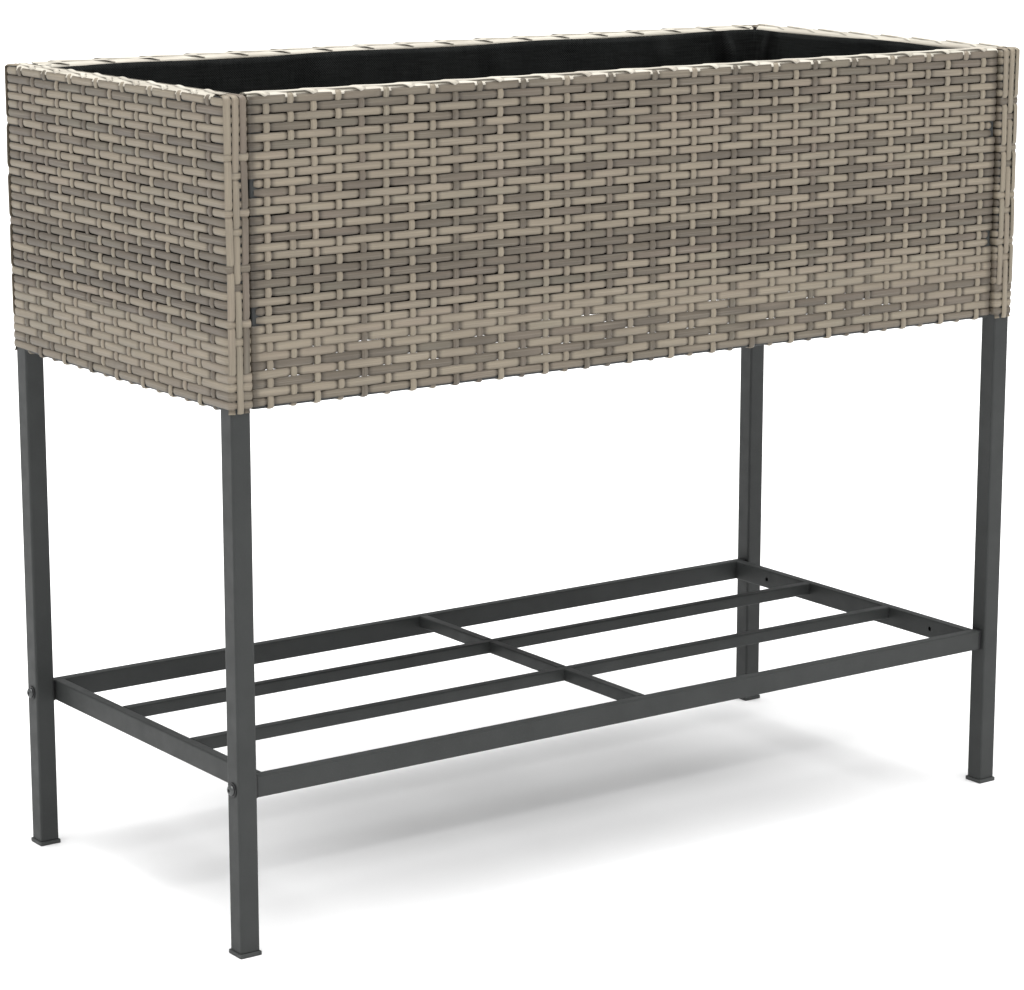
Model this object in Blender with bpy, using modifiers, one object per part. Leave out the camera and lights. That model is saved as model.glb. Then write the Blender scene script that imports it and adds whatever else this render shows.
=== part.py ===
"""Raised planter on legs: a woven box on four square steel legs, with a slatted steel shelf.

Metres, +Z up. +X runs along the planter, -Y is its front. The origin is on the ground, midway
between the feet. Every tube, skin, cap and bolt is an object of its own, built in its place.
"""

import math

import bmesh
import bpy

# ---------------------------------------------------------------- driving dimensions
LENGTH = 0.900            # over the woven box, along X
WIDTH = 0.400             # over the woven box, along Y
HEIGHT = 0.750            # ground to the woven rim
BOX_BOTTOM = 0.482        # lower edge of the woven box
BOX_HEM = 0.0015          # weave hanging below the frames
SKIN = 0.0022             # woven skin over the steel
GAP = 0.0003              # clearance between pieces that touch

LEG = 0.019               # square leg tube
WALL = 0.0012             # wall of every tube
TUBE_RADIUS = 0.0018      # rounded edge of the large tubes
TUBE_SEGMENTS = 2

CAP_RIM = 0.0214          # foot cap, across its rim
CAP_RIM_HEIGHT = 0.004
CAP_PLUG_DEPTH = 0.012

PANEL_TUBE = 0.013        # frames of the long panels
PANEL_RECESS = 0.0045     # long panels sit back from the end panels' front
PANEL_GAP = 0.0054        # leg to the long panels' frame
PANEL_SIDE_SKIN = 0.0018  # weave round the frame's ends
PANEL_BOLT_HEIGHTS = (0.555, 0.665)
PANEL_SKIN_HOLE = 0.0045  # gap in the weave for a bolt, radius

FLOOR_UNDERSIDE = 0.524   # where the floor bars rest on their bearers
FLOOR_TUBE = 0.012
FLOOR_BAR_ROWS = (-0.135, -0.045, 0.045, 0.135)
FLOOR_BAR_HALF = 0.4395   # half a floor bar, ends over the bearers

LINER_WALL = 0.0012
LINER_TOP = 0.744
LINER_CLEARANCE = 0.0008

SHELF_TOP = 0.1614
RAIL_WIDTH = 0.010        # shelf rails are 20 by 10 tube on edge
RAIL_HEIGHT = 0.020
SLAT_HEIGHT = 0.012       # inner rails and cross bars
INNER_RAIL_ROW = 0.063    # inner rails, either side of the middle
RAIL_RADIUS = 0.0013
PLUG_FLANGE = 0.0025      # end plug between rail and leg
PLUG_DEPTH = 0.016
VENT_ROW = 0.1305         # vent holes in the shelf's end rails
VENT_RADIUS = 0.0022

WASHER = 0.0010
WASHER_RADIUS = 0.0065
SHELF_BOLT = {"head_radius": 0.0048, "head": 0.0028, "radius": 0.0025, "length": 0.0334, "hex": 0.0017}
PANEL_BOLT = {"head_radius": 0.0052, "head": 0.0033, "radius": 0.0030, "length": 0.0270, "hex": 0.0022}
BOLT_STEPS = 12
HOLE_CLEARANCE = 0.0003

# ---------------------------------------------------------------- worked-out places
LEG_X = LENGTH / 2 - SKIN - LEG / 2
LEG_Y = WIDTH / 2 - SKIN - LEG / 2
LEG_TOP = HEIGHT - SKIN - GAP
LEG_INNER_X = LEG_X - LEG / 2
LEG_INNER_Y = LEG_Y - LEG / 2
FRAME_BOTTOM = BOX_BOTTOM + BOX_HEM
PANEL_FRONT = WIDTH / 2 - PANEL_RECESS - SKIN - GAP
PANEL_Y = PANEL_FRONT - PANEL_TUBE / 2
PANEL_END = LEG_INNER_X - PANEL_GAP
SHELF_MID = SHELF_TOP - RAIL_HEIGHT / 2
SHELF_END = LEG_INNER_X - PLUG_FLANGE - 2 * GAP
SLAT_MID = SHELF_TOP - SLAT_HEIGHT / 2

CORNERS = {"front_left": (-1, -1), "front_right": (1, -1), "rear_left": (-1, 1), "rear_right": (1, 1)}
ENDS = {"left": -1, "right": 1}
SIDES = {"front": -1, "rear": 1}


# ---------------------------------------------------------------- scene, collections, materials
def clear_scene():
    for old in list(bpy.data.objects):
        bpy.data.objects.remove(old, do_unlink=True)


def new_collection(name):
    collection = bpy.data.collections.new(name)
    bpy.context.scene.collection.children.link(collection)
    return collection


def new_material(name, colour, roughness, metallic=0.0):
    material = bpy.data.materials.new(name)
    material.use_nodes = True
    shader = material.node_tree.nodes["Principled BSDF"]
    shader.inputs["Base Color"].default_value = (*colour, 1.0)
    shader.inputs["Roughness"].default_value = roughness
    shader.inputs["Metallic"].default_value = metallic
    material.diffuse_color = (*colour, 1.0)
    return material


clear_scene()
PARTS = new_collection("raised_planter")
CUTTERS = new_collection("raised_planter_cutters")
STEEL = new_material("powder_coated_steel", (0.085, 0.090, 0.089), 0.42, 0.15)
PLASTIC = new_material("black_plastic", (0.012, 0.012, 0.013), 0.50)
FASTENER = new_material("dark_fastener", (0.10, 0.10, 0.10), 0.35, 0.80)
RATTAN = new_material("woven_rattan", (0.36, 0.32, 0.27), 0.55)
FABRIC = new_material("liner_fabric", (0.012, 0.014, 0.014), 0.90)


# ---------------------------------------------------------------- building blocks
def new_object(name, mesh, material, centre, collection=PARTS):
    piece = bpy.data.objects.new(name, mesh)
    collection.objects.link(piece)
    piece.location = centre
    if material:
        mesh.materials.append(material)
    return piece


def mesh_from(bm, name):
    mesh = bpy.data.meshes.new(name)
    bm.to_mesh(mesh)
    bm.free()
    return mesh


def block_bmesh(size):
    """A box centred on the origin."""
    bm = bmesh.new()
    bmesh.ops.create_cube(bm, size=1.0)
    bmesh.ops.scale(bm, vec=size, verts=bm.verts)
    return bm


def block(name, low, high, material, collection=PARTS):
    """A plain box between two corners."""
    size = [top - bottom for bottom, top in zip(low, high)]
    centre = [(bottom + top) / 2 for bottom, top in zip(low, high)]
    return new_object(name, mesh_from(block_bmesh(size), name), material, centre, collection)


def hide_cutter(cutter):
    cutter.hide_render = True
    cutter.display_type = "WIRE"


def combine(piece, other, operation):
    modifier = piece.modifiers.new(other.name, "BOOLEAN")
    modifier.operation = operation
    modifier.solver = "EXACT"
    modifier.object = other
    hide_cutter(other)


def drill(piece, centre, radius, depth, sides=BOLT_STEPS):
    """Cut a round (or six-sided) hole along X, centred on a point."""
    name = f"{piece.name}_hole_{len(CUTTERS.objects)}"
    bm = bmesh.new()
    bmesh.ops.create_cone(bm, cap_ends=True, segments=sides, radius1=radius, radius2=radius, depth=depth)
    cutter = new_object(name, mesh_from(bm, name), None, centre, CUTTERS)
    cutter.rotation_euler = (0.0, math.pi / 2, 0.0)
    combine(piece, cutter, "DIFFERENCE")


def tube(name, section, length, centre, axis, radius=TUBE_RADIUS):
    """An open-ended square steel tube with rounded edges: a four-sided sleeve, thickened inwards.

    section is its size across: (X, Y) for a tube along Z, (Z, Y) along X and (X, Z) along Y.
    """
    bm = block_bmesh((section[0], section[1], length))
    ends = [face for face in bm.faces if abs(face.normal.z) > 0.5]
    bmesh.ops.delete(bm, geom=ends, context="FACES")
    long_edges = [edge for edge in bm.edges if len(edge.link_faces) == 2]
    bmesh.ops.bevel(bm, geom=long_edges, offset=radius, segments=TUBE_SEGMENTS, profile=0.5, affect="EDGES")
    piece = new_object(name, mesh_from(bm, name), STEEL, centre)
    piece.data.shade_smooth()
    piece.data.set_sharp_from_angle(angle=math.radians(45))
    if axis == "X":
        piece.rotation_euler = (0.0, math.pi / 2, 0.0)
    if axis == "Y":
        piece.rotation_euler = (math.pi / 2, 0.0, 0.0)
    sleeve = piece.modifiers.new("wall", "SOLIDIFY")
    sleeve.thickness = WALL
    sleeve.offset = -1.0
    sleeve.use_even_offset = True
    return piece


def bolt(name, size, underhead, outward):
    """A button-head bolt along X: a turned profile with a six-sided socket.

    underhead is the point under its head, and outward is the way the head faces along X.
    """
    head_radius, head, radius = size["head_radius"], size["head"], size["radius"]
    profile = [(head_radius * math.sin(turn), head * math.cos(turn) ** 0.7)
               for turn in [math.radians(angle) for angle in (0, 30, 55, 74)]]
    tip = 0.0006
    profile += [(head_radius, 0.0006), (head_radius, 0.0), (radius, 0.0)]
    profile += [(radius, tip - size["length"]), (radius - tip, -size["length"]), (0.0, -size["length"])]
    mesh = bpy.data.meshes.new(name)
    mesh.from_pydata([(x, 0.0, z) for x, z in profile],
                     [(index, index + 1) for index in range(len(profile) - 1)], [])
    piece = new_object(name, mesh, FASTENER, underhead)
    piece.rotation_euler = (0.0, outward * math.pi / 2, 0.0)
    turned = piece.modifiers.new("turned", "SCREW")
    turned.steps = BOLT_STEPS
    turned.render_steps = BOLT_STEPS
    turned.use_merge_vertices = True
    turned.merge_threshold = 0.00005
    socket_centre = (underhead[0] + outward * head, underhead[1], underhead[2])
    drill(piece, socket_centre, size["hex"], head * 1.1, sides=6)
    return piece


# ---------------------------------------------------------------- legs and end frames
def make_leg(corner, side_x, side_y):
    bottom = CAP_RIM_HEIGHT + GAP
    x, y = side_x * LEG_X, side_y * LEG_Y
    leg = tube(f"leg_{corner}", (LEG, LEG), LEG_TOP - bottom, (x, y, (LEG_TOP + bottom) / 2), "Z")
    drill(leg, (x, y, SHELF_MID), SHELF_BOLT["radius"] + HOLE_CLEARANCE, 2 * LEG)
    for height in PANEL_BOLT_HEIGHTS:
        inner_wall = (x - side_x * LEG / 2, side_y * PANEL_Y, height)
        drill(leg, inner_wall, PANEL_BOLT["radius"] + HOLE_CLEARANCE, LEG)


def make_foot_cap(corner, side_x, side_y):
    """A rim that the leg stands on, with a plug up inside the tube."""
    x, y = side_x * LEG_X, side_y * LEG_Y
    rim = block(f"foot_cap_{corner}", (x - CAP_RIM / 2, y - CAP_RIM / 2, 0.0),
                (x + CAP_RIM / 2, y + CAP_RIM / 2, CAP_RIM_HEIGHT), PLASTIC)
    edge = rim.modifiers.new("soft_rim", "BEVEL")
    edge.width = 0.0009
    edge.segments = 2
    half = LEG / 2 - WALL - 2 * GAP
    plug = block(f"foot_plug_{corner}", (x - half, y - half, CAP_RIM_HEIGHT / 2),
                 (x + half, y + half, CAP_RIM_HEIGHT + CAP_PLUG_DEPTH), None, CUTTERS)
    combine(rim, plug, "UNION")


def make_end_frame(end, side_x):
    """Rails between the two legs of one end, and the bearer that carries the floor."""
    length = 2 * (LEG_INNER_Y - GAP)
    x = side_x * LEG_X
    tube(f"end_rail_top_{end}", (LEG, LEG), length, (x, 0.0, LEG_TOP - LEG / 2), "Y")
    tube(f"end_rail_bottom_{end}", (LEG, LEG), length, (x, 0.0, FRAME_BOTTOM + LEG / 2), "Y")
    bearer_x = side_x * (LEG_INNER_X + FLOOR_TUBE / 2)
    bearer_z = FLOOR_UNDERSIDE - FLOOR_TUBE / 2
    tube(f"floor_bearer_{end}", (FLOOR_TUBE, FLOOR_TUBE), length, (bearer_x, 0.0, bearer_z), "Y",
         radius=RAIL_RADIUS)


def make_floor_bars():
    for number, row in enumerate(FLOOR_BAR_ROWS, start=1):
        centre = (0.0, row, FLOOR_UNDERSIDE + GAP + FLOOR_TUBE / 2)
        tube(f"floor_bar_{number}", (FLOOR_TUBE, FLOOR_TUBE), 2 * FLOOR_BAR_HALF, centre, "X",
             radius=RAIL_RADIUS)


# ---------------------------------------------------------------- long panels
def make_panel_frame(side, side_y):
    """Two uprights with a rail between them at top and bottom, bolted to the legs."""
    y = side_y * PANEL_Y
    height = LEG_TOP - FRAME_BOTTOM
    rail_length = 2 * (PANEL_END - PANEL_TUBE - GAP)
    for level, z in (("top", LEG_TOP - PANEL_TUBE / 2), ("bottom", FRAME_BOTTOM + PANEL_TUBE / 2)):
        tube(f"{side}_panel_rail_{level}", (PANEL_TUBE, PANEL_TUBE), rail_length, (0.0, y, z), "X",
             radius=RAIL_RADIUS)
    for end, side_x in ENDS.items():
        x = side_x * (PANEL_END - PANEL_TUBE / 2)
        upright = tube(f"{side}_panel_upright_{end}", (PANEL_TUBE, PANEL_TUBE), height,
                       (x, y, FRAME_BOTTOM + height / 2), "Z", radius=RAIL_RADIUS)
        for level, bolt_z in zip(("lower", "upper"), PANEL_BOLT_HEIGHTS):
            drill(upright, (x, y, bolt_z), PANEL_BOLT["radius"] + HOLE_CLEARANCE, 2 * PANEL_TUBE)
            underhead = (side_x * (PANEL_END - PANEL_TUBE - GAP), y, bolt_z)
            bolt(f"panel_bolt_{side}_{end}_{level}", PANEL_BOLT, underhead, -side_x)


# ---------------------------------------------------------------- woven skins
def hollow(skin, low, high):
    combine(skin, block(f"{skin.name}_inside", low, high, None, CUTTERS), "DIFFERENCE")


def make_end_skin(end, side_x):
    """Weave over one end: its outer face, round both legs, and over the top."""
    outer, inner, past = LENGTH / 2, LEG_INNER_X, 0.02
    x_span = sorted((side_x * outer, side_x * inner))
    skin = block(f"rattan_end_{end}", (x_span[0], -WIDTH / 2, BOX_BOTTOM),
                 (x_span[1], WIDTH / 2, HEIGHT), RATTAN)
    inside = sorted((side_x * (outer - SKIN + GAP), side_x * (inner - past)))
    half = WIDTH / 2 - SKIN + GAP
    hollow(skin, (inside[0], -half, BOX_BOTTOM - past), (inside[1], half, HEIGHT - SKIN))


def make_panel_skin(side, side_y):
    """Weave over one long panel: its face, both ends of its frame, and over the top."""
    outer = WIDTH / 2 - PANEL_RECESS
    inner, past = PANEL_FRONT - PANEL_TUBE, 0.02
    half = PANEL_END + PANEL_SIDE_SKIN
    y_span = sorted((side_y * outer, side_y * inner))
    skin = block(f"rattan_panel_{side}", (-half, y_span[0], BOX_BOTTOM), (half, y_span[1], HEIGHT), RATTAN)
    inside = sorted((side_y * (PANEL_FRONT + GAP), side_y * (inner - past)))
    hollow(skin, (-PANEL_END - GAP, inside[0], BOX_BOTTOM - past),
           (PANEL_END + GAP, inside[1], HEIGHT - SKIN))
    for side_x in ENDS.values():
        for bolt_z in PANEL_BOLT_HEIGHTS:
            drill(skin, (side_x * half, side_y * PANEL_Y, bolt_z), PANEL_SKIN_HOLE, 2 * PANEL_TUBE)


def make_liner():
    """An open-topped fabric bag: a box without its lid, thickened inwards."""
    bottom = FLOOR_UNDERSIDE + FLOOR_TUBE + 2 * GAP
    size = (2 * (LEG_INNER_X - LINER_CLEARANCE), 2 * (LEG_INNER_Y - LINER_CLEARANCE), LINER_TOP - bottom)
    bm = block_bmesh(size)
    lid = [face for face in bm.faces if face.normal.z > 0.5]
    bmesh.ops.delete(bm, geom=lid, context="FACES")
    centre = (0.0, 0.0, bottom + size[2] / 2)
    liner = new_object("fabric_liner", mesh_from(bm, "fabric_liner"), FABRIC, centre)
    sheet = liner.modifiers.new("sheet", "SOLIDIFY")
    sheet.thickness = LINER_WALL
    sheet.offset = -1.0
    sheet.use_even_offset = True


# ---------------------------------------------------------------- shelf
def make_shelf_rails():
    rail_y = LEG_Y
    for side, side_y in SIDES.items():
        tube(f"shelf_rail_{side}", (RAIL_HEIGHT, RAIL_WIDTH), 2 * SHELF_END,
             (0.0, side_y * rail_y, SHELF_MID), "X", radius=RAIL_RADIUS)
    end_length = 2 * (rail_y - RAIL_WIDTH / 2 - GAP)
    for end, side_x in ENDS.items():
        x = side_x * (SHELF_END - RAIL_WIDTH / 2)
        rail = tube(f"shelf_rail_{end}", (RAIL_WIDTH, RAIL_HEIGHT), end_length, (x, 0.0, SHELF_MID), "Y",
                    radius=RAIL_RADIUS)
        for side_y in SIDES.values():
            inner_wall = (x - side_x * RAIL_WIDTH / 2, side_y * VENT_ROW, SHELF_MID)
            drill(rail, inner_wall, VENT_RADIUS, RAIL_WIDTH)
    inner_length = 2 * (SHELF_END - RAIL_WIDTH - GAP)
    for side, side_y in SIDES.items():
        tube(f"shelf_inner_rail_{side}", (SLAT_HEIGHT, RAIL_WIDTH), inner_length,
             (0.0, side_y * INNER_RAIL_ROW, SLAT_MID), "X", radius=RAIL_RADIUS)


def make_shelf_cross_bars():
    """Three short bars across the middle, between neighbouring rails."""
    half = RAIL_WIDTH / 2 + GAP
    spans = {"front": (-LEG_Y + half, -INNER_RAIL_ROW - half),
             "middle": (-INNER_RAIL_ROW + half, INNER_RAIL_ROW - half),
             "rear": (INNER_RAIL_ROW + half, LEG_Y - half)}
    for place, (low, high) in spans.items():
        tube(f"shelf_cross_bar_{place}", (RAIL_WIDTH, SLAT_HEIGHT), high - low,
             (0.0, (low + high) / 2, SLAT_MID), "Y", radius=RAIL_RADIUS)


def make_end_plug(corner, side_x, side_y):
    """A flange that fills the space between rail and leg, with a threaded body inside the rail."""
    y = side_y * LEG_Y
    flange = sorted((side_x * (SHELF_END + GAP), side_x * (SHELF_END + GAP + PLUG_FLANGE)))
    body = sorted((side_x * (SHELF_END + GAP + PLUG_FLANGE / 2), side_x * (SHELF_END - PLUG_DEPTH)))
    body_y, body_z = RAIL_WIDTH / 2 - WALL - GAP, RAIL_HEIGHT / 2 - WALL - GAP
    plug = block(f"shelf_end_plug_{corner}", (flange[0], y - RAIL_WIDTH / 2, SHELF_MID - RAIL_HEIGHT / 2),
                 (flange[1], y + RAIL_WIDTH / 2, SHELF_MID + RAIL_HEIGHT / 2), PLASTIC)
    core = block(f"shelf_plug_body_{corner}", (body[0], y - body_y, SHELF_MID - body_z),
                 (body[1], y + body_y, SHELF_MID + body_z), None, CUTTERS)
    combine(plug, core, "UNION")
    drill(plug, (side_x * (SHELF_END + GAP + PLUG_FLANGE), y, SHELF_MID),
          SHELF_BOLT["radius"] + HOLE_CLEARANCE, 2 * (PLUG_DEPTH - PLUG_FLANGE))


def make_washer(corner, side_x, side_y):
    name = f"shelf_washer_{corner}"
    x = side_x * (LEG_X + LEG / 2 + GAP + WASHER / 2)
    bm = bmesh.new()
    bmesh.ops.create_cone(bm, cap_ends=True, segments=20, radius1=WASHER_RADIUS, radius2=WASHER_RADIUS,
                          depth=WASHER)
    washer = new_object(name, mesh_from(bm, name), PLASTIC, (x, side_y * LEG_Y, SHELF_MID))
    washer.rotation_euler = (0.0, math.pi / 2, 0.0)
    drill(washer, (x, side_y * LEG_Y, SHELF_MID), SHELF_BOLT["radius"] + HOLE_CLEARANCE, 4 * WASHER)


def make_shelf_bolt(corner, side_x, side_y):
    underhead = (side_x * (LEG_X + LEG / 2 + 2 * GAP + WASHER), side_y * LEG_Y, SHELF_MID)
    bolt(f"shelf_bolt_{corner}", SHELF_BOLT, underhead, side_x)


# ---------------------------------------------------------------- assembly
for corner_name, (sign_x, sign_y) in CORNERS.items():
    make_leg(corner_name, sign_x, sign_y)
    make_foot_cap(corner_name, sign_x, sign_y)
    make_end_plug(corner_name, sign_x, sign_y)
    make_washer(corner_name, sign_x, sign_y)
    make_shelf_bolt(corner_name, sign_x, sign_y)

for end_name, sign_x in ENDS.items():
    make_end_frame(end_name, sign_x)
    make_end_skin(end_name, sign_x)

for side_name, sign_y in SIDES.items():
    make_panel_frame(side_name, sign_y)
    make_panel_skin(side_name, sign_y)

make_floor_bars()
make_liner()
make_shelf_rails()
make_shelf_cross_bars()
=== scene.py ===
import math
import random

import bpy
import numpy as np
from mathutils import Euler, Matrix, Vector


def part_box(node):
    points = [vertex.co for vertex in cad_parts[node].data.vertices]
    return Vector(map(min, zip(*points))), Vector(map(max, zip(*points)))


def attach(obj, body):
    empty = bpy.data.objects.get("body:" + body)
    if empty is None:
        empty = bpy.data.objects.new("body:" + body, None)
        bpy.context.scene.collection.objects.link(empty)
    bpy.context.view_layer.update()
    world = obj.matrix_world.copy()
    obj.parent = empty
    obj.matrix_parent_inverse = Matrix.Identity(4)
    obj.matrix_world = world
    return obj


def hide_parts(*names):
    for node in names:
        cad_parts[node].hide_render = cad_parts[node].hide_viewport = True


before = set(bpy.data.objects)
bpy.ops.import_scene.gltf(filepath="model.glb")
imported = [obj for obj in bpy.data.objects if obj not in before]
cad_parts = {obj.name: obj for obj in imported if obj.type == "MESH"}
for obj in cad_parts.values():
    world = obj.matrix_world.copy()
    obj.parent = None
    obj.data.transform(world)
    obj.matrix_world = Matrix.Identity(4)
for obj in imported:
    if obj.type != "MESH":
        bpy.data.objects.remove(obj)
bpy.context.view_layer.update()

random.seed(11)

# Everything is in metres. Places come from the CAD nodes' boxes, each a low corner and a high one.
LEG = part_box("leg_front_left")
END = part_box("rattan_end_left")
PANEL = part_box("rattan_panel_front")
END_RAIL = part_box("end_rail_top_left")
PANEL_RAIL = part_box("front_panel_rail_top")
PANEL_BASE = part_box("front_panel_rail_bottom")
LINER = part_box("fabric_liner")
FLOOR_BARS = [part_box(f"floor_bar_{number}") for number in (1, 2, 3, 4)]

# The flat strand of the weave, and how far it waves out of the weave's middle.
STRAND = 0.0015
WEFT_WIDTH = 0.0072
WARP_WIDTH = 0.0064
WEFT_WAVE = 0.00075
WARP_WAVE = 0.00095

# The D-shaped section of a strand: across from -1 to 1, and height from -0.5 to 0.5.
SECTION = np.array([(-1.0, -0.42), (-0.84, 0.05), (-0.46, 0.38), (0.0, 0.5), (0.46, 0.38), (0.84, 0.05),
                    (1.0, -0.42), (0.0, -0.5)])
# The painted shade at each corner of the section: its edges and flat back are painted darkest, as if hidden
# from the light.
SECTION_PAINTED_SHADE = np.array([1.0, 0.5, 0.06, 0.0, 0.06, 0.5, 1.0, 1.0])

# The rows of wefts, from the top one down.
ROWS = 34
TOP_ROW = PANEL[1].z - 0.0066
BOTTOM_ROW = PANEL_BASE[0].z + 0.0057
ROW_PITCH = (TOP_ROW - BOTTOM_ROW) / (ROWS - 1)
# Rows level with the open gap under the liner are packed tight, so that little light comes through.
TIGHT_ROWS = range(27, 34)
TIGHT_WIDTH = 0.0082
# The rows beside a bolt stop this short of a long panel's ends.
SHORT_BY = 0.0150
# A weft lies flat along its float and dips under a warp within these distances of the warp's middle.
DIP_HALF = 0.0023
DIP_SLOPE = 0.0062
# Its path gets points at these distances from the warp, and at this pitch between the warps.
DIP_STATIONS = np.array([0.0, 0.0023, 0.0037, 0.0050, 0.0064, 0.0085])
STATION_PITCH = 0.0085
CLOSEST_STATIONS = 0.0005
# A weft's wave dies out over this length at its ends.
END_EASE = 0.006

# The warps of each face: how many, the length that they are spread over, how far one may stand out of its
# place along the face, and the pitch of its path's points.
PANEL_WARPS = 35
PANEL_WARP_SPAN = 0.8138
END_WARPS = 15
END_WARP_SPAN = 0.3412
WARP_SCATTER = 0.0013
WARP_STEP = 0.0018
# The upright strands on a leg's outer face: how far each is from the box's end, and the rows that cross it.
CROSSED_OFTEN = (7, 13, 19, 25, 31, 32, 33, 34)
CROSSED_SELDOM = (9, 15, 21, 27)
POST_STRANDS = ((0.0031, CROSSED_OFTEN), (0.0105, CROSSED_SELDOM), (0.0179, CROSSED_OFTEN))

# The level where the warps turn in under the lower rail, and how far they go in and then up behind it.
FOOT = PANEL_BASE[0].z - STRAND / 2
FOOT_DEPTH = 0.012
FOOT_RISE = 0.009
# How far below the rim's straight strands a warp turns in, and how deep.
HEAD_BELOW_RIM = 0.0008
HEAD_DEPTH = 0.006
# How far a post's strand reaches below the foot, and how it goes over the rim: inwards and down behind.
POST_BELOW_FOOT = 0.0004
POST_DEPTH = 0.0205
POST_DROP = 0.009
# The radius of each kind of strand where it bends round a rail or a corner.
WARP_BEND = 0.0022
POST_BEND = 0.0026
WINDING_BEND = 0.0028
PANEL_BEND = 0.0026
END_BEND = 0.0024

# The strands' shades from the top row down, and from left to right: l light, m middle, d dark.
FRONT_ROWS = "mdldldlllldlldldllddddldllllldldlm"
LEFT_ROWS = "ldllldldlldlldldlddddlddldllllllmm"
FRONT_WARPS = "lllldlllddldllddldlllddlldlddllllll"
LEFT_WARPS = "dddlldlllllllld"
# The rim's value above 1 paints a highlight on the border's strands, making them lighter than the weave's.
SHADES = {"l": 0.90, "m": 0.45, "d": 0.06, "rim": 1.9}
SHADE_SCATTER = 0.09
# The share of dark strands in a face whose shades are drawn at random.
DARK_ROWS = 0.42
DARK_WARPS = 0.3

# A border is one strand wound over straight ones. Both are thinner than the weave's.
BORDER_STRAND = STRAND * 0.8
WINDING_WIDTH = 0.0062
CORE_WIDTH = 0.0066
# One turn of the winding: its length along the rim, the part of it before its bead, its reach down the
# rail's sides, and how many points its path has.
TURN_LENGTH = 0.066
TURN_BEFORE_BEAD = 0.062
TURN_DROP = 0.0044
TURN_POINTS = 64
# How far along a turn the strand is, and how far round the rail it is there, as shares of the whole.
TURN_PARTS = (0.0, 0.10, 0.24, 0.50, 0.86, 1.0)
TURN_PLACES = (0.25, 0.28, 0.37, 0.62, 0.71, 1.0)

# Each border: its rail's distance from the object's middle, half the length of its winding and of its
# straight strands, its reach inwards and outwards from the rail's middle line, the level of the straight
# strands and of the winding, and how far the painted shadow at the face's ends reaches.
PANEL_SIDE = abs(PANEL[0].x) - STRAND / 2
PANEL_RIM = {
    "rail": abs(PANEL_RAIL[0].y + PANEL_RAIL[1].y) / 2, "reach": PANEL_SIDE, "core_reach": PANEL_SIDE,
    "inner": 0.0072, "outer": 0.0079, "head": PANEL_RAIL[1].z + STRAND / 2,
    "top": PANEL[1].z - STRAND * 0.4, "end_shadow": 0.0125,
}
END_RIM = {
    "rail": abs(END_RAIL[0].x + END_RAIL[1].x) / 2, "reach": 0.190, "core_reach": 0.178,
    "inner": 0.0101, "outer": 0.0106, "head": END_RAIL[1].z + STRAND / 2,
    "top": END[1].z - STRAND * 0.4, "end_shadow": 0.0,
}


# ---------------------------------------------------------------- plain helpers

def smooth(t):
    """Eases from 0 to 1 while t goes from 0 to 1."""
    t = np.clip(t, 0.0, 1.0)
    return t * t * (3 - 2 * t)


def bell(away, width):
    """1 at the middle, and almost nothing two widths away."""
    return np.exp(-(away / width) ** 2)


def unit(vectors):
    return vectors / np.maximum(np.linalg.norm(vectors, axis=-1, keepdims=True), 1e-12)


def running_length(line):
    """The length along a line up to each of its points."""
    return np.concatenate([[0], np.cumsum(np.linalg.norm(np.diff(line, axis=0), axis=1))])


def on_plan(outward, *places):
    """Points seen from above, from pairs of (along the face, out from the object's middle)."""
    along = (-outward[1], outward[0])
    return [np.array([far * along[0] + out * outward[0], far * along[1] + out * outward[1]])
            for far, out in places]


def new_object(name, points, faces, smooth_angle=None):
    mesh = bpy.data.meshes.new(name)
    mesh.from_pydata(points, [], faces)
    mesh.validate()
    mesh.update()
    if smooth_angle is not None:
        mesh.shade_smooth()
        mesh.set_sharp_from_angle(angle=math.radians(smooth_angle))
    thing = bpy.data.objects.new(name, mesh)
    bpy.context.scene.collection.objects.link(thing)
    return thing


def declare(piece, node):
    """Puts a piece on the one body and hides the CAD node that it stands for."""
    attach(piece, "root")
    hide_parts(node)


class Outline:
    """A plan or a section outline with rounded corners, read by its running length."""

    STEP = 0.0004

    def __init__(self, corners, radius):
        corners = [np.array(corner, float) for corner in corners]
        line = [corners[0]]
        for before, corner, after in zip(corners, corners[1:], corners[2:]):
            to_before = unit(before - corner)
            to_after = unit(after - corner)
            centre = corner + (to_before + to_after) * radius
            for turn in np.linspace(0, math.pi / 2, 9):
                back = centre - to_after * radius * math.cos(turn)
                line.append(back - to_before * radius * math.sin(turn))
        line.append(corners[-1])
        line = np.array(line)
        run = running_length(line)
        self.length = run[-1]
        self.run = np.linspace(0, self.length, int(self.length / self.STEP) + 2)
        self.points = np.stack([np.interp(self.run, run, line[:, i]) for i in (0, 1)], -1)
        tangents = unit(np.gradient(self.points, axis=0))
        self.normals = np.stack([tangents[:, 1], -tangents[:, 0]], -1)
        turning = np.linalg.norm(np.gradient(self.normals, axis=0), axis=1) > 0.01
        self.bends = self.run[turning][::2]

    def at(self, run):
        """The points and the normals at these lengths along the outline."""
        point = np.stack([np.interp(run, self.run, self.points[:, i]) for i in (0, 1)], -1)
        normal = np.stack([np.interp(run, self.run, self.normals[:, i]) for i in (0, 1)], -1)
        return point, unit(normal)

    def nearest(self, place):
        return self.run[np.argmin(np.linalg.norm(self.points - place, axis=1))]


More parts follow.
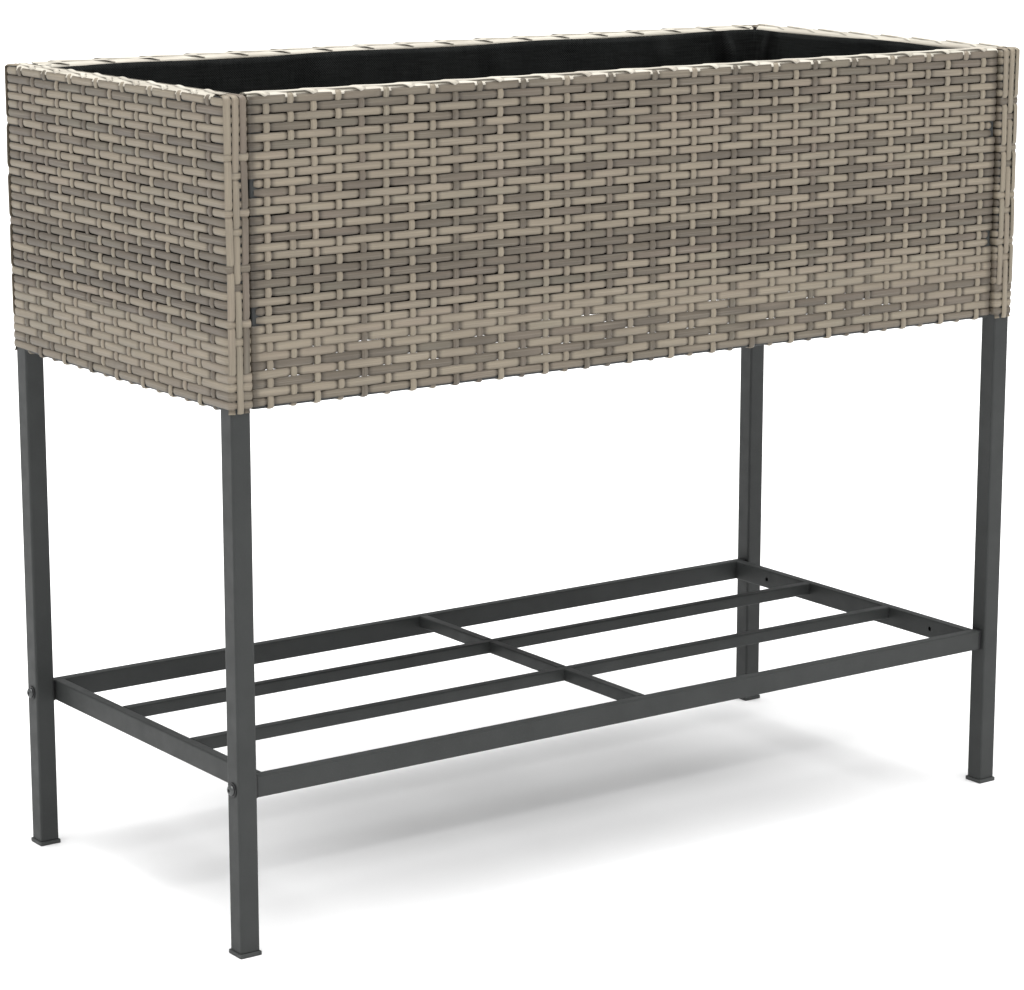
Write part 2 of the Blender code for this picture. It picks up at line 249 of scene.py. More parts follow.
class Strands:
    """Gathers swept strands into one mesh, with the values that the strand material reads."""

    SMOOTH_ANGLE = 58

    def __init__(self):
        self.points = []
        self.faces = []
        self.strand = []
        self.shade = []
        self.hollow = []
        self.size = 0

    def add(self, path, out, width, shade, thickness=STRAND, hollow=0.0, edge_hollow=1.0):
        """Sweeps the section along a path, with its round face towards out."""
        path = np.asarray(path, float)
        count = len(path)
        sides = len(SECTION)
        width = np.broadcast_to(np.asarray(width, float), (count,))
        tangent = unit(np.gradient(path, axis=0))
        out = unit(out - (out * tangent).sum(-1, keepdims=True) * tangent)
        side = np.cross(tangent, out)
        across = SECTION[:, 0][None, :] * width[:, None] / 2
        height = SECTION[:, 1][None, :] * thickness
        rings = path[:, None, :] + side[:, None, :] * across[..., None] + out[:, None, :] * height[..., None]
        self.points.append(rings.reshape(-1, 3))

        run = running_length(path)
        seed = random.random() * 40
        values = np.stack([across, np.repeat(run[:, None], sides, 1), np.full((count, sides), seed)], -1)
        self.strand.append(values.reshape(-1, 3))
        self.shade.append(np.full(count * sides, shade))
        # Painted shade: the section's edges and back, plus whatever shade the caller paints along the path.
        deep = np.broadcast_to(np.asarray(hollow, float), (count,))
        deep = deep[:, None] + edge_hollow * SECTION_PAINTED_SHADE[None, :]
        self.hollow.append(np.clip(deep, 0.0, 1.0).ravel())

        ring = np.arange(count - 1)[:, None] * sides + self.size
        here = np.arange(sides)[None, :]
        there = (here + 1) % sides
        quads = np.stack([ring + here, ring + there, ring + sides + there, ring + sides + here], -1)
        self.faces.extend(quads.reshape(-1, 4).tolist())
        last = self.size + (count - 1) * sides
        self.faces.append([self.size + i for i in reversed(range(sides))])
        self.faces.append([last + i for i in range(sides)])
        self.size += count * sides

    def make(self, name, material):
        piece = new_object(name, np.concatenate(self.points).tolist(), self.faces, self.SMOOTH_ANGLE)
        for title, kind, field, values in (
            ("strand", "FLOAT_VECTOR", "vector", self.strand),
            ("shade", "FLOAT", "value", self.shade),
            ("hollow", "FLOAT", "value", self.hollow),
        ):
            layer = piece.data.attributes.new(title, kind, "POINT")
            layer.data.foreach_set(field, np.concatenate(values).astype(np.float32).ravel())
        piece.data.materials.append(material)
        return piece


def shade_of(letter):
    return SHADES[letter] + random.uniform(-SHADE_SCATTER, SHADE_SCATTER)


def random_phase():
    """Somewhere along one turn of a sine wave."""
    return random.uniform(0, 6.3)


def random_shades(count, dark_share):
    return "".join("d" if random.random() < dark_share else "l" for _ in range(count))


# ---------------------------------------------------------------- materials

class Nodes:
    """A material with its Principled shader, and short ways to add and join nodes."""

    def __init__(self, name, **values):
        self.material = bpy.data.materials.new(name)
        self.material.use_nodes = True
        self.tree = self.material.node_tree
        self.shader = next(n for n in self.tree.nodes if n.type == "BSDF_PRINCIPLED")
        for key, value in values.items():
            self.shader.inputs[key.replace("_", " ")].default_value = value

    def feed(self, socket, value):
        """Links a node's output to the socket, or sets a plain value on it."""
        if isinstance(value, bpy.types.NodeSocket):
            self.tree.links.new(value, socket)
        else:
            socket.default_value = value

    def node(self, kind, inputs=None, **settings):
        node = self.tree.nodes.new("ShaderNode" + kind)
        for key, value in settings.items():
            setattr(node, key, value)
        for key, value in (inputs or {}).items():
            self.feed(node.inputs[key], value)
        return node

    def to(self, key, socket):
        self.tree.links.new(socket, self.shader.inputs[key])

    def place(self):
        return self.node("TexCoord").outputs["Object"]

    def attribute(self, title, output):
        return self.node("Attribute", attribute_name=title).outputs[output]

    def calculate(self, operation, first, second=0.0):
        return self.node("Math", {0: first, 1: second}, operation=operation).outputs[0]

    def noise(self, vector, scale, detail=3.0, roughness=0.55):
        inputs = {"Vector": vector, "Scale": scale, "Detail": detail, "Roughness": roughness}
        return self.node("TexNoise", inputs).outputs["Fac"]

    def stretched_noise(self, vector, scales, detail, roughness=0.55):
        """Noise whose grain is finer along one axis than along another."""
        inputs = {"Vector": vector, "Scale": scales}
        stretched = self.node("Mapping", inputs, vector_type="POINT").outputs["Vector"]
        return self.noise(stretched, 1.0, detail, roughness)

    def ramp(self, value, low, high, to_low, to_high):
        inputs = {"Value": value, "From Min": low, "From Max": high, "To Min": to_low, "To Max": to_high}
        return self.node("MapRange", inputs).outputs["Result"]

    def mix(self, factor, first, second):
        node = self.node("Mix", data_type="RGBA")
        colours = [socket for socket in node.inputs if socket.type == "RGBA"]
        self.feed(node.inputs[0], factor)
        self.feed(colours[0], first)
        self.feed(colours[1], second)
        return next(socket for socket in node.outputs if socket.type == "RGBA")

    def bump(self, height, distance, strength, normal=None):
        inputs = {"Height": height, "Distance": distance, "Strength": strength}
        if normal is not None:
            inputs["Normal"] = normal
        return self.node("Bump", inputs).outputs["Normal"]

    def rounded_edge(self, radius):
        """The surface's normal, as if its edges were rounded to this radius."""
        return self.node("Bevel", {"Radius": radius}, samples=4).outputs["Normal"]


def make_rattan():
    """Round-faced plastic strand in two greige shades, with fine lengthwise grooves and a drift of tint,
    painted shade in its hollows and a painted highlight on the rim's strands.
    """
    dark = (0.103, 0.085, 0.064, 1)
    light = (0.274, 0.233, 0.173, 1)
    painted_rim_highlight = (0.68, 0.64, 0.55, 1)
    reddish = (0.26, 0.205, 0.163, 1)
    greenish = (0.200, 0.190, 0.142, 1)
    streak_brown = (0.092, 0.076, 0.058, 1)
    worn = (0.42, 0.375, 0.30, 1)
    painted_crevice_shade = (0.042, 0.033, 0.024, 1)
    m = Nodes("rattan_strand", IOR=1.46)
    strand = m.attribute("strand", "Vector")
    drift = m.stretched_noise(strand, (60.0, 11.0, 7.3), 2.0)
    tint = m.stretched_noise(strand, (40.0, 7.0, 3.1), 1.0)
    streak = m.stretched_noise(strand, (2600.0, 22.0, 9.7), 2.0, 0.6)
    groove = m.stretched_noise(strand, (1500.0, 9.0, 5.9), 1.0)
    grain = m.stretched_noise(strand, (5200.0, 900.0, 1.0), 2.0)
    lightness = m.calculate("ADD", m.attribute("shade", "Fac"), m.ramp(drift, 0.35, 0.65, -0.14, 0.14))
    colour = m.mix(lightness, dark, light)
    # Painted highlight: shades above 1, given only to the rim's strands, go towards a near-white colour.
    colour = m.mix(m.ramp(lightness, 1.05, 2.0, 0.0, 1.0), colour, painted_rim_highlight)
    colour = m.mix(m.ramp(tint, 0.54, 0.72, 0.0, 0.35), colour, reddish)
    colour = m.mix(m.ramp(tint, 0.46, 0.30, 0.0, 0.3), colour, greenish)
    colour = m.mix(m.ramp(streak, 0.35, 0.65, 0.30, 0.0), colour, streak_brown)
    colour = m.mix(m.ramp(groove, 0.55, 0.72, 0.0, 0.2), colour, worn)
    # Painted shade: the strands go towards a near-black brown at their edges, where they dip under others,
    # and at the faces' ends.
    colour = m.mix(m.ramp(m.attribute("hollow", "Fac"), 0.0, 1.0, 0.0, 0.74), colour, painted_crevice_shade)
    m.to("Base Color", colour)
    m.to("Roughness", m.ramp(m.calculate("ADD", streak, drift), 0.7, 1.3, 0.42, 0.62))
    relief = m.bump(groove, 0.00035, 0.9)
    relief = m.bump(streak, 0.00012, 0.8, relief)
    m.to("Normal", m.bump(grain, 0.00003, 0.6, relief))
    return m.material


def make_steel():
    """Anthracite powder coat: fine orange peel, soft rounded edges, slight cloudiness."""
    m = Nodes("powder_coated_steel", IOR=1.5, Specular_IOR_Level=0.25)
    place = m.place()
    cloud = m.ramp(m.noise(place, 14.0, 3.0), 0.3, 0.7, 0.0, 1.0)
    speck = m.ramp(m.noise(place, 1900.0, 2.0), 0.62, 0.75, 0.0, 0.35)
    colour = m.mix(cloud, (0.0300, 0.0320, 0.0312, 1), (0.0365, 0.0388, 0.0380, 1))
    m.to("Base Color", m.mix(speck, colour, (0.12, 0.13, 0.13, 1)))
    m.to("Roughness", m.ramp(m.noise(place, 60.0), 0.3, 0.7, 0.45, 0.58))
    m.to("Normal", m.bump(m.noise(place, 750.0, 2.0), 0.00004, 0.7, m.rounded_edge(0.0012)))
    return m.material


def make_plastic(name, dark, light):
    """Moulded polypropylene with a fine matt grain."""
    m = Nodes(name, IOR=1.49)
    place = m.place()
    m.to("Base Color", m.mix(m.noise(place, 45.0, 3.0), dark, light))
    m.to("Roughness", m.ramp(m.noise(place, 120.0), 0.3, 0.7, 0.45, 0.62))
    m.to("Normal", m.bump(m.noise(place, 2300.0, 2.0), 0.00003, 0.8, m.rounded_edge(0.0006)))
    return m.material


def make_fastener():
    """Dark grey coated steel with a slight metal sheen."""
    m = Nodes("painted_fastener", IOR=1.6, Metallic=0.2)
    place = m.place()
    m.to("Base Color", m.mix(m.noise(place, 300.0, 3.0), (0.042, 0.045, 0.045, 1), (0.07, 0.073, 0.072, 1)))
    m.to("Roughness", m.ramp(m.noise(place, 900.0), 0.3, 0.7, 0.30, 0.48))
    m.to("Normal", m.bump(m.noise(place, 2600.0, 2.0), 0.00002, 0.6))
    return m.material


def make_cloth():
    """Near-black woven liner cloth: crossing threads, uneven yarn, painted shade beside its folds."""
    thread_pitch = 0.0026
    dull = (0.0060, 0.0066, 0.0064, 1)
    bright = (0.0270, 0.0290, 0.0280, 1)
    dusty = (0.0250, 0.0270, 0.0260, 1)
    between_threads = (0.0008, 0.0009, 0.0009, 1)
    painted_fold_shade = (0.0004, 0.0004, 0.0004, 1)
    m = Nodes("liner_cloth", IOR=1.45, Specular_IOR_Level=0.08)
    flat = m.attribute("cloth", "Vector")
    parts = m.node("SeparateXYZ", {"Vector": flat}).outputs
    turns = 2 * math.pi / thread_pitch
    warp = m.calculate("SINE", m.calculate("MULTIPLY", parts["X"], turns))
    weft = m.calculate("SINE", m.calculate("MULTIPLY", parts["Y"], turns))
    checks = m.calculate("MULTIPLY", warp, weft)
    yarn = m.stretched_noise(flat, (620.0, 45.0, 0.0), 2.0)
    slub = m.stretched_noise(flat, (40.0, 520.0, 0.0), 2.0)
    cloud = m.stretched_noise(flat, (14.0, 5.0, 0.0), 3.0)
    unevenness = m.calculate("ADD", yarn, slub)
    colour = m.mix(m.ramp(unevenness, 0.75, 1.3, 0.0, 1.0), dull, bright)
    colour = m.mix(m.ramp(checks, -0.6, 0.6, 0.55, 0.0), colour, between_threads)
    colour = m.mix(m.ramp(cloud, 0.35, 0.7, 0.0, 0.5), colour, dusty)
    # Painted shade beside the pleats, carried in the cloth attribute's Z value.
    colour = m.mix(m.calculate("MULTIPLY", parts["Z"], 0.95), colour, painted_fold_shade)
    m.to("Base Color", colour)
    m.to("Roughness", m.ramp(yarn, 0.3, 0.7, 0.62, 0.85))
    m.to("Normal", m.bump(unevenness, 0.0001, 0.7, m.bump(checks, 0.00035, 0.9)))
    return m.material


def make_ground():
    """Pale studio floor with a faint mottling."""
    m = Nodes("studio_floor", Roughness=0.9, Specular_IOR_Level=0.1)
    m.to("Base Color", m.mix(m.noise(m.place(), 1.5), (0.87, 0.87, 0.87, 1), (0.89, 0.89, 0.89, 1)))
    return m.material


# ---------------------------------------------------------------- the weave

def make_warps(outline, count, span, middle, shades, first_over):
    """The upright strands of a face: where each stands, its shade, and the rows that it passes over."""
    warps = []
    centre = outline.nearest(middle)
    for i in range(count):
        place = centre - span / 2 + span * i / (count - 1)
        if 0 < i < count - 1:
            place += random.uniform(-WARP_SCATTER, WARP_SCATTER)
        over = {row for row in range(1, ROWS + 1) if (row + i + first_over) % 2 == 0}
        warps.append({"run": place, "shade": shade_of(shades[i]), "over": over, "post": False})
    return warps


def make_post_strands(outline, x_sign, y_sign):
    """The upright strands on a leg's outer face, crossed only here and there by the wefts. The one farthest
    from the box's end is dark on the front left and rear right legs."""
    strands = []
    for inset, crossed in POST_STRANDS:
        place = np.array([x_sign * (abs(END[0].x) - inset), y_sign * (abs(END[0].y) - 0.0008)])
        over = set(range(1, ROWS + 1)) - set(crossed)
        dark = x_sign * y_sign > 0 and inset == POST_STRANDS[-1][0]
        shade = shade_of("d" if dark else "l")
        strands.append({"run": outline.nearest(place), "shade": shade, "over": over, "post": True})
    return strands


def weft_wave(run, warps, row, length):
    """How far a weft stands out of the weave's middle: 1 along a float, -1 under a warp, 0 at its ends."""
    dip = np.zeros(len(run))
    for warp in warps:
        if row in warp["over"]:
            away = np.abs(run - warp["run"])
            dip = np.maximum(dip, 1 - smooth((away - DIP_HALF) / DIP_SLOPE))
    return (1 - 2 * dip) * smooth(np.minimum(run, length - run) / END_EASE)


def weft_stations(outline, warps, row, start):
    """Where a weft's path gets its points: close together at dips and corners, wide apart between."""
    end = outline.length - start
    places = [np.arange(start, end, STATION_PITCH), outline.bends]
    for warp in warps:
        if row in warp["over"]:
            places.append(warp["run"] + DIP_STATIONS)
            places.append(warp["run"] - DIP_STATIONS)
    places = np.sort(np.concatenate(places))
    places = places[(places > start) & (places < end)]
    kept = [start]
    for place in places:
        if place - kept[-1] > CLOSEST_STATIONS:
            kept.append(place)
    return np.array(kept + [end])


def add_wefts(strands, outline, warps, shades, short_rows, end_shadow):
    """The strands that go along the face. Each wanders a little up and down and leans in and out."""
    plain = [warp for warp in warps if not warp["post"]]
    for row in range(1, ROWS + 1):
        tight = row in TIGHT_ROWS
        start = SHORT_BY if row in short_rows else 0.0
        run = weft_stations(outline, warps, row, start)
        wave = weft_wave(run, warps, row, outline.length)
        from_end = np.minimum(run, outline.length - run)
        if start:
            ends = smooth((from_end - start) / 0.002)
            wave = wave * ends - 1.6 * (1 - ends)
        spot, normal = outline.at(run)
        spot = spot + normal * (wave * WEFT_WAVE)[:, None]
        phase = random_phase()
        level = TOP_ROW - (row - 1) * ROW_PITCH + random.uniform(-0.00015, 0.00015)
        level = level + 0.00016 * np.sin(run * 31 + phase) + 0.0001 * np.sin(run * 83 + phase * 2)
        path = np.column_stack([spot, level])
        lean = 0.07 * np.sin(run * 47 + phase * 3) + random.uniform(-0.05, 0.05)
        out = np.column_stack([normal * np.cos(lean)[:, None], np.sin(lean)])
        width = TIGHT_WIDTH if tight else WEFT_WIDTH * random.uniform(0.975, 1.015)
        taper = 0.08 if tight else 0.15
        width = width * (1 - taper * smooth((0.2 - wave) / 1.2))
        # Painted shade where the weft dips under a warp, fading out towards the face's ends.
        hollow = 0.9 * smooth((1.0 - weft_wave(run, plain, row, outline.length)) / 1.3)
        hollow = hollow * smooth(from_end / 0.014)
        # Painted shadow along the face's ends, where the wefts meet the legs.
        if end_shadow:
            hollow = np.maximum(hollow, 0.9 * (1 - smooth((from_end - end_shadow) / 0.006)))
        strands.add(path, out, width, shade_of(shades[row - 1]), hollow=hollow)


def warp_wave(level, warp):
    """How far a warp stands out at each level: 1 over a weft and -1 under one."""
    rows = np.array([TOP_ROW - (row - 1) * ROW_PITCH for row in range(1, ROWS + 1)])
    values = np.array([1.0 if row in warp["over"] else -1.0 for row in range(1, ROWS + 1)])
    wave = np.interp(level, rows[::-1], values[::-1])
    wave = np.sin(np.sin(wave * math.pi / 2) * math.pi / 2)
    above_foot = smooth((level - rows[-1] + ROW_PITCH) / 0.004)
    below_head = smooth((rows[0] + ROW_PITCH - level) / 0.004)
    return wave * above_foot * below_head


def warp_section(warp, head):
    """A warp's path seen from the side, from foot to head, as pairs of (out from the face, level)."""
    if warp["post"]:
        corners = [(0.0, FOOT - POST_BELOW_FOOT), (0.0, head), (-POST_DEPTH, head),
                   (-POST_DEPTH, head - POST_DROP)]
        return Outline(corners, POST_BEND)
    under_rim = head - HEAD_BELOW_RIM
    corners = [(-FOOT_DEPTH, FOOT + FOOT_RISE), (-FOOT_DEPTH, FOOT), (0.0, FOOT), (0.0, under_rim),
               (-HEAD_DEPTH, under_rim)]
    return Outline(corners, WARP_BEND)


def add_warps(strands, outline, warps, head):
    """The strands that go up the face. A warp is wrapped under the lower rail and tucked away below the rim,
    and a post's strand goes over its end's rim."""
    for warp in warps:
        spots, normals = outline.at(np.array([warp["run"]]))
        spot = spots[0]
        normal = normals[0]
        section = warp_section(warp, head)
        run = np.linspace(0, section.length, int(section.length / WARP_STEP))
        place, facing = section.at(run)
        on_face = smooth((place[:, 0] + 0.0012) / 0.001)
        wave = warp_wave(place[:, 1], warp) * on_face
        place = place + facing * (wave * WARP_WAVE)[:, None]
        along = np.array([-normal[1], normal[0]])
        phase = random_phase()
        shift = 0.0004 * np.sin(run * 23 + phase) + 0.00015 * np.sin(run * 71 + phase * 2)
        flat = spot + normal * place[:, :1] + along * shift[:, None]
        path = np.column_stack([flat, place[:, 1]])
        out = np.column_stack([normal * facing[:, :1], facing[:, 1]])
        width = WARP_WIDTH * (1 - 0.08 * smooth(-wave))
        # Painted shade where the warp passes under a weft.
        hollow = 0.8 * smooth((-0.1 - wave) / 0.9) * on_face
        strands.add(path, out, width, warp["shade"], hollow=hollow, edge_hollow=0.35)


def add_core(strands, outward, rim):
    """The straight strands under the winding, side by side round the rail's upper half."""
    inner = rim["inner"] - 0.0002
    outer = rim["outer"] - 0.0004
    head = rim["head"]
    start, end = on_plan(outward, (-rim["core_reach"], rim["rail"]), (rim["core_reach"], rim["rail"]))
    count = int(np.linalg.norm(end - start) / 0.008)
    diagonal = math.sqrt(0.5)
    corner = 0.0013
    lanes = [(outer - corner, head - corner, diagonal, diagonal),
             (-inner + corner, head - corner, -diagonal, diagonal)]
    room = inner + outer - 0.0064
    between = max(1, round(room / 0.0068))
    lanes += [(-inner + 0.0032 + room * (lane + 0.5) / between, head, 0.0, 1.0) for lane in range(between)]
    for side, level, face_out, face_up in lanes:
        part = np.linspace(0, 1, count)[:, None]
        flat = start + (end - start) * part + np.array(outward) * side
        path = np.column_stack([flat, np.full(count, level)])
        out = np.tile(np.array([outward[0] * face_out, outward[1] * face_out, face_up]), (count, 1))
        strands.add(path, out, CORE_WIDTH, shade_of("rim"), BORDER_STRAND, edge_hollow=0.6)


def bead_runs(outline, warps, start, direction):
    """Where the border's beads fall along the rim: at the warps that pass under the first weft."""
    runs = []
    for warp in warps:
        if not warp["post"] and 1 not in warp["over"]:
            spot, _ = outline.at(np.array([warp["run"]]))
            runs.append(float(np.dot(spot[0] - start, direction)))
    pitch = np.mean(np.diff(runs))
    return [runs[0] - pitch] + runs + [runs[-1] + pitch]


def add_winding(strands, outline, warps, outward, rim):
    """The strand wound round the rim's rail. Each turn comes out of the straight strands, lies along the
    rail's outer edge, and dives behind the first weft at its bead, over the start of the next turn. Turns
    are cut off at the rim's ends, and one with next to nothing left is skipped."""
    inner = rim["inner"]
    outer = rim["outer"]
    top = rim["top"]
    start, end = on_plan(outward, (-rim["reach"], rim["rail"]), (rim["reach"], rim["rail"]))
    length = np.linalg.norm(end - start)
    direction = (end - start) / length
    corners = [(-inner, top - TURN_DROP), (-inner, top), (outer, top), (outer, top - TURN_DROP)]
    section = Outline(corners, WINDING_BEND)
    for bead in bead_runs(outline, warps, start, direction):
        part = np.linspace(0, 1, TURN_POINTS)
        run = bead - TURN_BEFORE_BEAD + TURN_LENGTH * part
        inside = (run > -0.002) & (run < length + 0.002)
        if inside.sum() < 6:
            continue
        turn = np.interp(part, TURN_PARTS, TURN_PLACES)
        turn = np.convolve(np.pad(turn, 5, mode="edge"), np.ones(11) / 11, mode="valid") * section.length
        place, into_rail = section.at(turn)
        facing = -into_rail
        lift = 0.0003 * smooth((part - 0.45) / 0.35) - 0.0016 * smooth((part - 0.92) / 0.08)
        lift = lift - 0.0016 * smooth((0.17 - part) / 0.17)
        place = place + facing * lift[:, None]
        flat = start[None, :] + direction * run[:, None] + np.array(outward) * place[:, :1]
        path = np.column_stack([flat, place[:, 1]])[inside]
        out = np.column_stack([np.array(outward) * facing[:, :1], facing[:, 1]])[inside]
        width = WINDING_WIDTH * (1 - 0.2 * smooth((part - 0.85) / 0.15))[inside]
        strands.add(path, out, width, shade_of("rim"), BORDER_STRAND, edge_hollow=0.6)


def make_face(name, node, outward, outline, warps, row_shades, rim, rattan, short_rows=()):
    """One woven face in three pieces: wefts, warps and rim."""
    wefts = Strands()
    add_wefts(wefts, outline, warps, row_shades, short_rows, rim["end_shadow"])
    declare(wefts.make(name + "_wefts", rattan), node)
    uprights = Strands()
    add_warps(uprights, outline, warps, rim["head"])
    declare(uprights.make(name + "_warps", rattan), node)
    border = Strands()
    add_core(border, outward, rim)
    add_winding(border, outline, warps, outward, rim)
    declare(border.make(name + "_rim", rattan), node)


def bolt_rows(heights):
    """The rows that stop short of the long panel's end, to leave room for a bolt."""
    rows = []
    for height in heights:
        nearest = round((TOP_ROW - height) / ROW_PITCH) + 1
        rows += [nearest - 1, nearest]
    return rows


def make_long_panels(rattan):
    """The front and rear faces, each turned in a little at its two ends."""
    face = abs(PANEL_RAIL[0].y) + 0.0010
    turned_in = face - 0.011
    bolts = [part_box(f"panel_bolt_front_left_{level}") for level in ("lower", "upper")]
    rows = bolt_rows([(low.z + high.z) / 2 for low, high in bolts])
    for name, sign, shades, warp_shades in (
        ("front", -1.0, FRONT_ROWS, FRONT_WARPS),
        ("rear", 1.0, random_shades(ROWS, DARK_ROWS), random_shades(PANEL_WARPS, DARK_WARPS)),
    ):
        outward = (0.0, sign)
        corners = on_plan(outward, (-PANEL_SIDE, turned_in), (-PANEL_SIDE, face), (PANEL_SIDE, face),
                          (PANEL_SIDE, turned_in))
        outline = Outline(corners, PANEL_BEND)
        middle = on_plan(outward, (0.0, face))[0]
        warps = make_warps(outline, PANEL_WARPS, PANEL_WARP_SPAN, middle, warp_shades, 0)
        make_face(name + "_panel", "rattan_panel_" + name, outward, outline, warps, shades, PANEL_RIM,
                  rattan, rows)


def make_ends(rattan):
    """The left and right faces, each wrapped round its two legs."""
    out = abs(END_RAIL[0].x) + 0.0007
    side = abs(END[0].y) - 0.0013
    inner = abs(LEG[1].x) - 0.0010
    turned_in = abs(LEG[1].y) + 0.0035
    for name, sign, shades, warp_shades in (
        ("left", -1.0, LEFT_ROWS, LEFT_WARPS),
        ("right", 1.0, random_shades(ROWS, DARK_ROWS), random_shades(END_WARPS, DARK_WARPS)),
    ):
        outward = (sign, 0.0)
        corners = on_plan(outward, (-turned_in, inner), (-side, inner), (-side, out), (side, out),
                          (side, inner), (turned_in, inner))
        outline = Outline(corners, END_BEND)
        middle = on_plan(outward, (0.0, out))[0]
        warps = make_warps(outline, END_WARPS, END_WARP_SPAN, middle, warp_shades, 1)
        warps += make_post_strands(outline, sign, -1)
        warps += make_post_strands(outline, sign, 1)
        make_face(name + "_end", "rattan_end_" + name, outward, outline, warps, shades, END_RIM, rattan)


# ---------------------------------------------------------------- the liner

# How far the cloth's middle is inside its CAD box at the walls and the floor, and above it at the rim.
WALL_INSET = 0.0012
FLOOR_INSET = 0.0008
RIM_RISE = 0.0026
CLOTH_THICKNESS = 0.0009
LINER_CORNER = 0.010
# How fine the mesh is: the pitch of its points round the walls, the wall's levels, and the floor's rings.
LINER_PITCH = 0.0065
LINER_LEVELS = 34
FLOOR_RINGS = 24
# The liner's upright pleats: on which wall, where along it, how far in, how wide, and how dark the painted
# shadow beside it is.
PLEATS = (("rear", 0.384, 0.0130, 0.0090, 1.0), ("right", 0.156, 0.0090, 0.0060, 1.0),
          ("rear", 0.30, 0.0040, 0.0140, 0.25), ("rear", -0.12, 0.0030, 0.0150, 0.15),
          ("rear", 0.09, 0.0025, 0.0120, 0.2), ("right", -0.05, 0.0030, 0.0140, 0.2),
          ("left", 0.06, 0.0030, 0.0140, 0.2), ("front", -0.2, 0.0030, 0.0150, 0.2))


def rounded_rectangle(half_x, half_y):
    """The liner seen from above, anticlockwise from the left end of its front wall."""
    corner = LINER_CORNER
    along_x = np.arange(-half_x + corner, half_x - corner + LINER_PITCH / 2, LINER_PITCH)
    along_y = np.arange(-half_y + corner, half_y - corner + LINER_PITCH / 2, LINER_PITCH)
    arc = [(corner * math.cos(a), corner * math.sin(a)) for a in np.linspace(0, math.pi / 2, 9)[1:-1]]
    plan = [(x, -half_y) for x in along_x]
    plan += [(half_x - corner + s, -half_y + corner - c) for c, s in arc]
    plan += [(half_x, y) for y in along_y]
    plan += [(half_x - corner + c, half_y - corner + s) for c, s in arc]
    plan += [(x, half_y) for x in along_x[::-1]]
    plan += [(-half_x + corner - s, half_y - corner + c) for c, s in arc]
    plan += [(-half_x, y) for y in along_y[::-1]]
    plan += [(-half_x + corner - c, -half_y + corner - s) for c, s in arc]
    return np.array(plan)


def liner_folds(plan, around, half_x, half_y, up):
    """How far inwards the cloth stands at one height, where up goes from 0 at the floor to 1 at the top, and
    the painted shadow beside its pleats."""
    belly = math.sin(math.pi * min(1.0, up * 1.02))
    wave = 0.5 + 0.5 * np.sin(around * 19 + 2.2 * np.sin(around * 4.3) + 0.9 * up)
    ripple = 0.5 + 0.5 * np.sin(around * 57 + 3.0 * np.sin(around * 7.7 + 1.3) + 2.4 * up)
    crease = bell((around + 0.03 * up) % 0.213 - 0.1, 0.004)
    depth = belly * (0.0034 * wave + 0.0014 * ripple + 0.0016 * crease) + 0.0004 * ripple
    tuck = 0.0
    for corner_x, corner_y in ((half_x, half_y), (-half_x, half_y), (half_x, -half_y), (-half_x, -half_y)):
        away = np.hypot(plan[:, 0] - corner_x, plan[:, 1] - corner_y)
        tuck = tuck + bell(away - 0.034 - 0.012 * up, 0.006) * (0.0035 + 0.003 * up)
        tuck = tuck + bell(away - 0.058 + 0.008 * up, 0.004) * 0.002
    walls = {
        "rear": (plan[:, 1] > half_y - LINER_CORNER, plan[:, 0]),
        "front": (plan[:, 1] < LINER_CORNER - half_y, plan[:, 0]),
        "right": (plan[:, 0] > half_x - LINER_CORNER, plan[:, 1]),
        "left": (plan[:, 0] < LINER_CORNER - half_x, plan[:, 1]),
    }
    pleat = 0.0
    painted_shadow = 0.0
    for wall, place, reach, wide, dark in PLEATS:
        on_wall, along = walls[wall]
        away = along - place - 0.010 * (1 - up)
        ridge = bell(away, wide) * on_wall
        pleat = pleat + reach * ridge * smooth((1.0 - up) / 0.12) * smooth(up / 0.3)
        # Painted shadow on one side of each pleat's ridge.
        painted_shadow = painted_shadow + dark * bell(away + 1.1 * wide, 0.75 * wide) * on_wall
    return depth + pleat + tuck * (0.35 + 0.65 * belly), np.clip(painted_shadow, 0.0, 1.0)


def let_floor_sag(floor, half_x, half_y):
    """Lowers the floor's points between the bars, and rumples them, away from the walls."""
    bars = np.array([(low.y + high.y) / 2 for low, high in FLOOR_BARS])
    gap = np.min(np.abs(floor[:, 1][:, None] - bars[None, :]), axis=1)
    inside = smooth((half_x - np.abs(floor[:, 0])) / 0.05) * smooth((half_y - np.abs(floor[:, 1])) / 0.03)
    sag = -0.0065 * smooth((gap - 0.007) / 0.036)
    rumple = 0.0012 * np.sin(floor[:, 0] * 23 + 2 * np.sin(floor[:, 1] * 31)) + 0.0014
    floor[:, 2] += inside * (sag + rumple * smooth((gap - 0.007) / 0.02))


